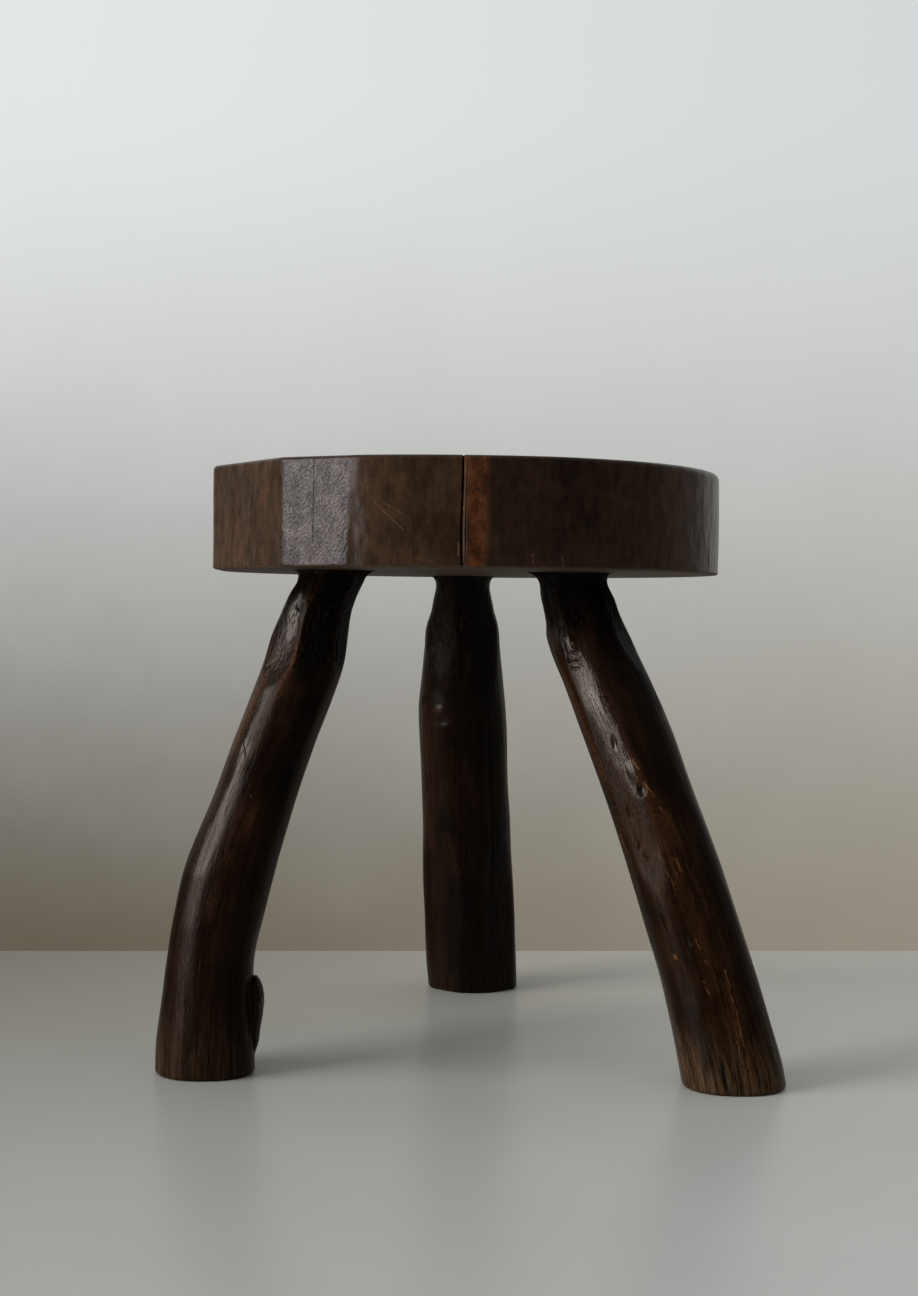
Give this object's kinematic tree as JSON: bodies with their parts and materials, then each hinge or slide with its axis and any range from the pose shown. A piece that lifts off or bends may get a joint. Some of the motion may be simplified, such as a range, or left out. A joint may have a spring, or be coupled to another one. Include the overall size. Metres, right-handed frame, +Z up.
{
  "type": "three-legged stool",
  "caption": "Low three-legged stool: thick irregular round wooden slab seat on splayed natural branch legs, tenoned through the seat and wedged.",
  "frame": {"origin": "on the floor, under the middle of the whole stool", "axes": "+Z up; +Y from the front of the stool to its back leg; +X to the viewer's right when the two front legs face the viewer"},
  "size_m": [0.3666, 0.3747, 0.358],
  "materials": {
    "seat_wood": "dark hand-polished patina, satin",
    "leg_wood": "dark hand-polished patina, satin, worn paler at the feet",
    "wedge_wood": "dark worn end grain"
  },
  "bodies": {
    "root": {"seat_slab": "seat_wood", "leg_front_left": "leg_wood", "leg_front_right": "leg_wood", "leg_back": "leg_wood", "wedge_front_left": "wedge_wood", "wedge_front_right": "wedge_wood", "wedge_back": "wedge_wood"}
  },
  "joints": []
}
